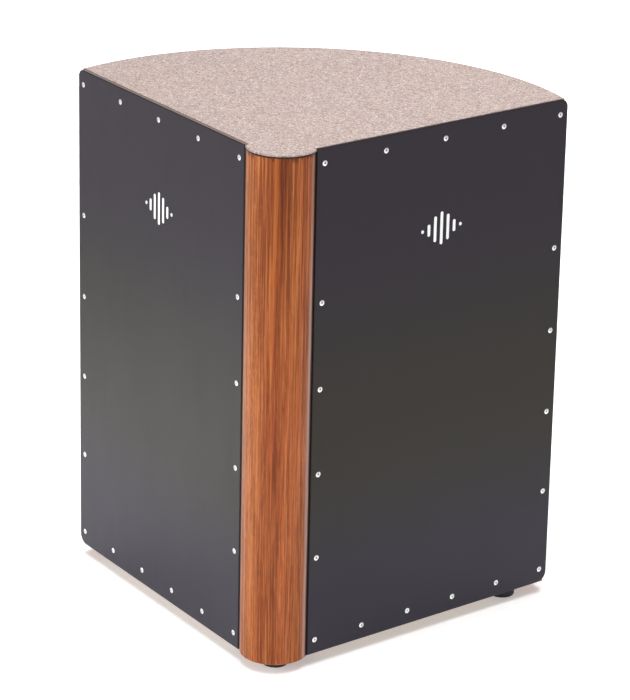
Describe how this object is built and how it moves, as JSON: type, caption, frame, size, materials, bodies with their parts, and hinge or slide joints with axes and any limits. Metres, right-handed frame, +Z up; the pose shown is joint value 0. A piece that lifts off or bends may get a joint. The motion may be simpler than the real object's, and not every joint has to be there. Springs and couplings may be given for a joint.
{
  "type": "cajon",
  "caption": "Corner-shaped box drum to sit on: flat playing panels either side of a rounded hardwood post, a bent back with a sound hole, and a non-slip seat.",
  "frame": {"origin": "on the floor, under the middle of the bounding box", "axes": "+Z up, -Y towards the rounded post, +X towards the playing panel with the snare"},
  "size_m": [0.4452, 0.3607, 0.477],
  "materials": {
    "seat_rubber": "pale grey-pink cork and rubber sheet with fine dark and light speckles, matt",
    "birch_plywood": "birch plywood, sanded, layered edge",
    "post_hardwood": "brown-orange hardwood with fine straight vertical grain, clear satin lacquer",
    "side_hardwood": "brown hardwood, straight vertical grain, clear satin lacquer",
    "softwood": "plain pale softwood, planed",
    "back_veneer": "bent plywood with a brown hardwood veneer, vertical grain, satin lacquer",
    "panel_black": "thin plywood with a satin black lacquer on its face and bare edges",
    "screw_steel": "bright nickel-plated screw heads",
    "emblem_white": "white printed transfer",
    "foot_rubber": "black moulded rubber, matt",
    "washer_steel": "zinc-plated steel",
    "snare_wire": "coiled steel wire, dull"
  },
  "bodies": {
    "root": {"seat_surface": "seat_rubber", "top_board": "birch_plywood", "bottom_board": "birch_plywood", "front_post": "post_hardwood", "left_corner_batten": "side_hardwood", "right_corner_batten": "side_hardwood", "back_panel": "back_veneer", "left_panel": "panel_black", "right_panel": "panel_black", "left_panel_screws": "screw_steel", "right_panel_screws": "screw_steel", "left_emblem": "emblem_white", "right_emblem": "emblem_white", "front_foot": "foot_rubber", "left_foot": "foot_rubber", "right_foot": "foot_rubber", "foot_washers": "washer_steel", "foot_screws": "washer_steel", "snare_bar": "softwood", "snare_bar_brackets": "washer_steel", "snare_bracket_screws": "washer_steel", "snare_clip_inner": "washer_steel", "snare_clip_outer": "washer_steel", "snare_clip_screws": "washer_steel", "snare_strands_inner": "snare_wire", "snare_strands_outer": "snare_wire", "snare_end_strip_inner": "washer_steel", "snare_end_strip_outer": "washer_steel"}
  },
  "joints": []
}
